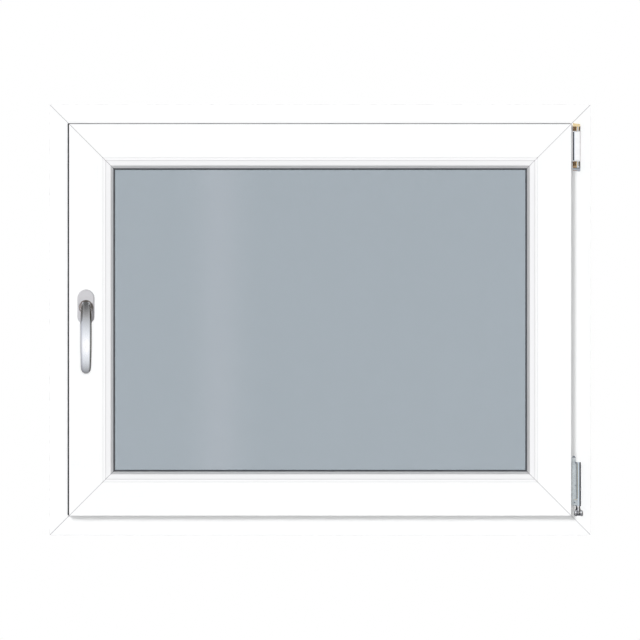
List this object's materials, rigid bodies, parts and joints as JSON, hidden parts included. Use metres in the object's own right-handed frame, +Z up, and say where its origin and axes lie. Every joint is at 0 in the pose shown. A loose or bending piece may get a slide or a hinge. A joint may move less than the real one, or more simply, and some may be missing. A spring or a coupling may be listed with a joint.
{
  "type": "pvc window",
  "caption": "White PVC tilt-and-turn window, closed: mitred frame and sash, clipped glazing beads, double glazing, silver lever handle on the left and metal hinges on the right.",
  "frame": {"origin": "middle of the underside of the frame's bottom rail, half way through the frame's depth", "axes": "+X to the right as seen from the room, +Y to the outside, +Z up; the handle side faces -Y"},
  "size_m": [1, 0.1387, 0.796],
  "materials": {
    "pvc_white": "satin white extruded plastic",
    "bead_white": "satin white extruded plastic",
    "gasket_grey": "matt dark grey sealing rubber",
    "glass": "clear with a blue-grey tint",
    "spacer_aluminium": "rolled and perforated",
    "edge_seal": "matt black sealant",
    "handle_silver": "satin anodised silver",
    "zinc": "blue-silver zinc plate",
    "yellow_zinc": "yellow passivated zinc plate",
    "steel_pin": "ground steel",
    "dark_steel": "dark passivated steel",
    "cap_white": "white moulded plastic",
    "nickel": "polished nickel plate"
  },
  "bodies": {
    "window": {"drain_caps": "cap_white", "frame_bottom_rail": "pvc_white", "frame_gasket": "gasket_grey", "frame_left_jamb": "pvc_white", "frame_right_jamb": "pvc_white", "frame_top_rail": "pvc_white", "glass_edge_seal": "edge_seal", "glass_pane_room_side": "glass", "glass_pane_weather_side": "glass", "glass_spacer_bar": "spacer_aluminium", "glazing_bead_bottom": "bead_white", "glazing_bead_left": "bead_white", "glazing_bead_right": "bead_white", "glazing_bead_top": "bead_white", "glazing_gasket_room_side": "gasket_grey", "glazing_gasket_weather_side": "gasket_grey", "handle_rosette": "handle_silver", "lower_hinge_bearing": "nickel", "lower_hinge_pin": "steel_pin", "lower_hinge_strap": "zinc", "sash_bottom_rail": "pvc_white", "sash_gasket": "gasket_grey", "sash_hinge_stile": "pvc_white", "sash_lock_stile": "pvc_white", "sash_top_rail": "pvc_white", "upper_hinge_arm": "dark_steel", "upper_hinge_bracket": "yellow_zinc", "upper_hinge_cover": "cap_white", "upper_hinge_foot": "zinc", "upper_hinge_pin": "steel_pin"},
    "handle": {"handle_lever": "handle_silver"}
  },
  "joints": [
    {"name": "handle_turn", "type": "hinge", "parent": "window", "child": "handle", "pos_m": [-0.4328, -0.06, 0.4215], "axis": [0, -1, 0], "range_deg": [0, 180]}
  ]
}
